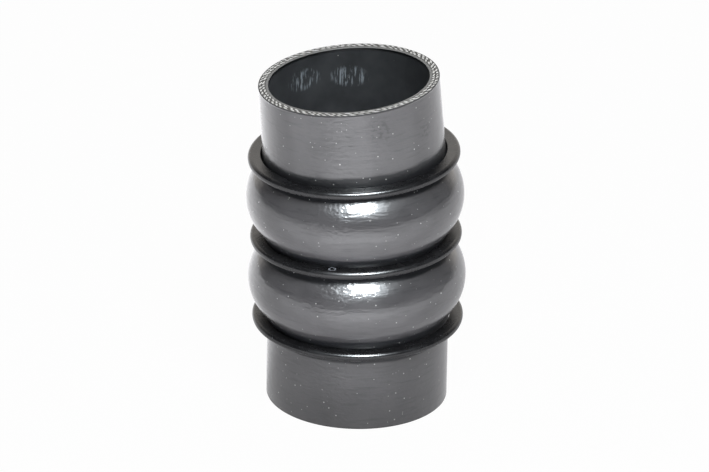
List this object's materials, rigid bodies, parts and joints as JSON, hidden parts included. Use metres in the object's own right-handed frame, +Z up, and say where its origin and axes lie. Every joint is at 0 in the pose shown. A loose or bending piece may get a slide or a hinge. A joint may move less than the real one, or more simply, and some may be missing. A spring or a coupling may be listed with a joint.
{
  "type": "turbo hose",
  "caption": "Reinforced silicone charge-air hose with plain cut cuffs, rounded convolutions and a loose support ring lying in each valley.",
  "frame": {"origin": "on the floor, under the middle of the part's outline from above; the lower cut end's centre is 1.5 mm from it along +X", "axes": "+Z up along the hose from the lower cuff to the upper cuff; +X to the right and +Y away as the picture shows it; the upper cuff leans towards -X"},
  "size_m": [0.1094, 0.108, 0.1721],
  "materials": {
    "silicone_rubber": "satin, with faint marks of the wrapping tape and light dust",
    "ring_plastic": "moulded, glossy black"
  },
  "bodies": {
    "root": {"hose_body": "silicone_rubber", "lower_support_ring": "ring_plastic", "middle_support_ring": "ring_plastic", "upper_support_ring": "ring_plastic"}
  },
  "joints": []
}
